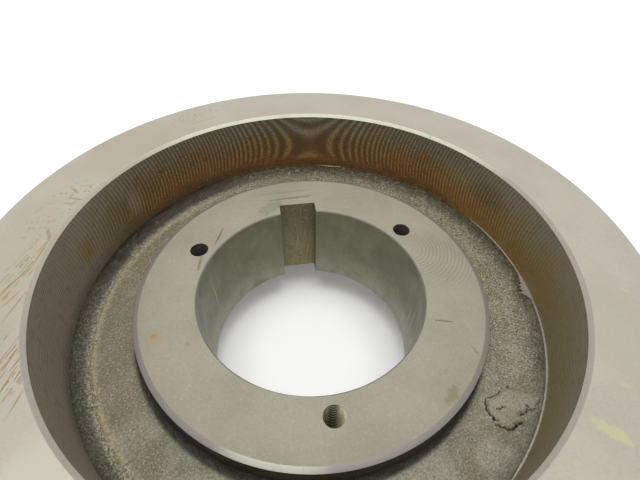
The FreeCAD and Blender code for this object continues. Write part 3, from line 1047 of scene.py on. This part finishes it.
def add_thread(shape, angle):
    """One tapped hole from its mouth down to the drill's point; gives the ring of its mouth."""
    centre = turn_about(angle, BOLT_CIRCLE_R, hub_top)[:2]
    steps, rows = 48, 8
    mouth_points = [turn_about(360 * i / steps, THREAD_MOUTH_R, hub_top, centre) for i in range(steps)]
    mouth = shape.ring(mouth_points)
    above = mouth
    levels = int(THREAD_DEPTH / THREAD_PITCH * rows)
    runout = [THREAD_DEPTH - left for left in THREAD_RUNOUT]
    for row in range(1, levels):
        depth = row * THREAD_PITCH / rows
        fade = between(depth, 0.0, 1.2) * (1 - between(depth, *runout))
        points = []
        for i in range(steps):
            phase = (row / rows + i / steps) % 1.0
            groove = min(1.0, max(0.0, 1.6 * (0.5 - abs(phase - 0.5)) * 2 - 0.3))
            radius = THREAD_MINOR_R + (THREAD_MAJOR_R - THREAD_MINOR_R) * groove * fade
            radius += 0.3 * (1 - between(depth, 0.0, 0.5))
            points.append(turn_about(360 * i / steps, radius, hub_top - depth, centre))
        below = shape.ring(points)
        shape.join(above, below, "thread" if angle == OPEN_SCREW_ANGLE else "oiled_hole")
        above = below
    tip = shape.ring([(*centre, hub_top - THREAD_DEPTH - DRILL_POINT)])[0]
    for i in range(steps):
        shape.face((above[i], above[(i + 1) % steps], tip), "oiled_hole")
    return mouth


def make_hub():
    """The barrel that takes the bushing: tapered bore, keyway, three tapped holes and a rough outside."""
    shape = Shape("bored_hub", finishes)
    edge_r = hub_r - HUB_CHAMFER
    full_r = edge_r + HUB_EDGE_WIDTH
    rows = [(hub_top, BORE_CHAMFER), (hub_top - BORE_CHAMFER, 0.0)]
    rows += [(hub_top - 4 - 4 * i, 0.0) for i in range(11) if hub_top - 4 - 4 * i > hub_bottom + 2]
    rows += [(hub_bottom + BORE_CHAMFER, 0.0), (hub_bottom, BORE_CHAMFER)]
    outlines = [shape.ring(bore_outline(level, grow)) for level, grow in rows]
    slot_faces = ["keyway"] * (FLOOR_STEPS + 2)
    for i, (upper, lower) in enumerate(zip(outlines, outlines[1:])):
        wall = "bore" if 0 < i < len(outlines) - 2 else "hub_edge"
        shape.join(upper, lower, [wall] * ARC_STEPS + slot_faces)
    outside = [(hub_top, edge_r, 0.0), (hub_top - HUB_EDGE_DROP, full_r, 0.0)]
    levels = [hub_top - 1.2 - 0.75 * i for i in range(60)]
    outside += [(level, full_r, 0.6) for level in levels if level > hub_bottom + 2]
    outside += [(hub_bottom + HUB_EDGE_DROP, full_r, 0.0), (hub_bottom, edge_r, 0.0)]
    rings = [shape.ring(hub_outside(level, r, rough)) for level, r, rough in outside]
    for i, (upper, lower) in enumerate(zip(rings, rings[1:])):
        shape.join(upper, lower, "cast" if 0 < i < len(rings) - 2 else "hub_edge")
    mouths = [add_thread(shape, angle) for angle in SCREW_ANGLES]
    shape.fill([rings[0], outlines[0], *mouths], "hub_face")
    shape.fill([rings[-1], outlines[-1]], "hub_face")
    dress(shape.make(), "turned_hub", "hub")


def make_step(name, start_angle, end_angle):
    """The bright ledge and torn burr where the boring ended: a thin strip that narrows away at its ends."""
    shape = Shape(name, finishes)
    count = int((end_angle - start_angle) * 8)
    rings = []
    for i in range(count + 1):
        angle = start_angle + (end_angle - start_angle) * i / count
        ends = between(i, 0, 0.12 * count) * (1 - between(i, 0.88 * count, count))
        lip = 0.10 + 0.12 * abs(noise.noise((angle * 1.7, 2.0, 9.0)))
        inner = wall_r - max(step_width(angle), 0.05) * ends - 0.02
        top = turned_end + 0.05 + lip * ends
        section = [(wall_r + 0.2, turned_end - 0.4), (wall_r + 0.2, top - 0.05), (wall_r - 0.05, top)]
        section += [(inner, top - 0.06), (inner - 0.05, top - 0.22), (inner + 0.1, turned_end - 0.4)]
        rings.append(shape.ring([turn_about(angle, r, z) for r, z in section]))
    for a, b in zip(rings, rings[1:]):
        shape.join(a, b, "step")
    for ring in (rings[0], rings[-1]):
        shape.face(tuple(ring), "step")
    dress(shape.make(), "turned_rim")


make_rim()
make_web()
make_hub()
make_step("torn_step", -63.0, 24.5)
make_step("small_burr", 71.0, 79.0)

# ------------------------------------------------------------------------------ floor, light, camera

WHITE = (1.0, 1.0, 1.0, 1.0)
CAMERA_PLACE = (-16.146, -113.629, 212.02)
CAMERA_HEADING = -9.78
CAMERA_DIP = 45.313  # how far it looks down
CAMERA_ROLL = 1.321
LENS_LENGTH = 22.95


def when_looked_at(tree):
    """1 where a thing is seen straight, in a shiny surface or through glass, and 0 where it gives light."""
    kinds = ("Camera", "Glossy", "Transmission")
    rays = [node(tree, "LightPath", out=f"Is {kind} Ray") for kind in kinds]
    either = node(tree, "Math MAXIMUM", rays[:2])
    return node(tree, "Math MAXIMUM", [either, rays[2]])


def make_floor():
    """A plain pale table, which keeps the pulley's shadow and looks white beyond it."""
    mesh = bpy.data.meshes.new("table_top")
    half = 6.0
    level = -0.1 * MM
    corners = [(x * half, y * half, level) for x, y in ((-1, -1), (1, -1), (1, 1), (-1, 1))]
    mesh.from_pydata(corners, [], [(0, 1, 2, 3)])
    material = bpy.data.materials.new("white_table")
    material.use_nodes = True
    tree = material.node_tree
    tree.nodes.clear()
    place = node(tree, "TexCoord", out="Object")
    away = node(tree, "VectorMath LENGTH", [place], out="Value")
    fill_ends = {"Value": away, "From Min": 0.2, "From Max": 1.5, "To Min": 0.17, "To Max": 1.0}
    fill = node(tree, "MapRange", fill_ends, SMOOTH)
    glow = node(tree, "Math MULTIPLY", [when_looked_at(tree), fill])
    inputs = {"Base Color": paint("F6F6F7"), "Roughness": 0.8}
    inputs |= {"Emission Color": WHITE, "Emission Strength": glow}
    shader = node(tree, "BsdfPrincipled", inputs)
    node(tree, "OutputMaterial", {"Surface": shader})
    mesh.materials.append(material)
    put("table_top", mesh)


def make_light():
    """One broad soft lamp overhead, which faces straight down."""
    lamp = bpy.data.lights.new("ceiling_light", "AREA")
    lamp.shape = "RECTANGLE"
    lamp.size, lamp.size_y = 0.9, 0.7
    lamp.energy = 9.0
    light = put("ceiling_light", lamp)
    light.location = (0.0, 0.0, 1.2)
    light.rotation_euler = Vector((0.0, 0.0, -1.0)).to_track_quat("-Z", "Y").to_euler()


def make_world():
    """Even room light, seen as white."""
    world = bpy.data.worlds.new("white_room")
    bpy.context.scene.world = world
    world.use_nodes = True
    tree = world.node_tree
    tree.nodes.clear()
    strength = node(tree, "MapRange", {"Value": when_looked_at(tree), "To Min": 0.5, "To Max": 1.0})
    room = node(tree, "Background", {"Color": WHITE, "Strength": strength})
    node(tree, "OutputWorld", {"Surface": room})


def make_camera():
    """Above the near side of the rim, looking down into the bore."""
    lens = bpy.data.cameras.new("camera")
    lens.sensor_width = 36.0
    lens.lens = LENS_LENGTH
    lens.clip_start = 0.01
    camera = put("camera", lens)
    heading = Matrix.Rotation(radians(CAMERA_HEADING), 4, "Z")
    pitch = Matrix.Rotation(radians(90 - CAMERA_DIP), 4, "X")
    roll = Matrix.Rotation(radians(CAMERA_ROLL), 4, "Z")
    place = Matrix.Translation(Vector(CAMERA_PLACE) * MM)
    camera.matrix_world = place @ heading @ pitch @ roll
    bpy.context.scene.camera = camera


make_floor()
make_world()
make_light()
make_camera()

bpy.context.scene.view_settings.view_transform = "Standard"
